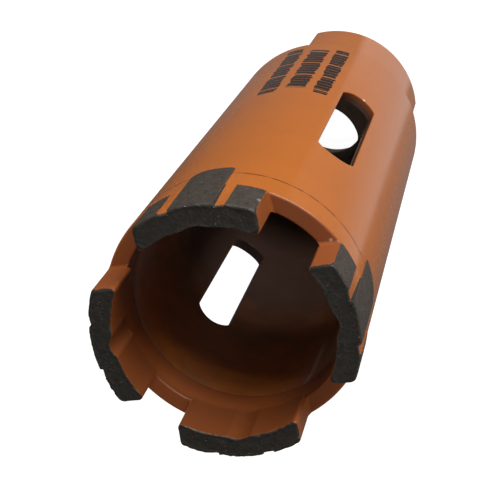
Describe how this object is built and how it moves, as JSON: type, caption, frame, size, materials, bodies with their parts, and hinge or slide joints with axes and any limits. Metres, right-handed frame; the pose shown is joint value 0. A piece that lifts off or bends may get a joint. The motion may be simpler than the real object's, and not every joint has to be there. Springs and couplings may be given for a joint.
{
  "type": "diamond core bit",
  "caption": "Tubular diamond core bit: a painted steel barrel with long slug slots, a crown of grooved abrasive segments at its mouth and a threaded hub with wrench flats.",
  "frame": {"origin": "centre of the hub's rear face, on the drilling axis", "axes": "+Z along the drilling axis from the hub to the cutting tips, -Y through the middle of the front slot, X across the wrench flats"},
  "size_m": [0.0516, 0.0516, 0.159],
  "materials": {
    "orange_paint": "gloss enamel",
    "sintered_segment": "ground, gritty"
  },
  "bodies": {
    "root": {"barrel": "orange_paint", "hub": "orange_paint", "weld_bead": "orange_paint", "crown_ring": "orange_paint", "segment_1": "sintered_segment", "segment_2": "sintered_segment", "segment_3": "sintered_segment", "segment_4": "sintered_segment"}
  },
  "joints": []
}
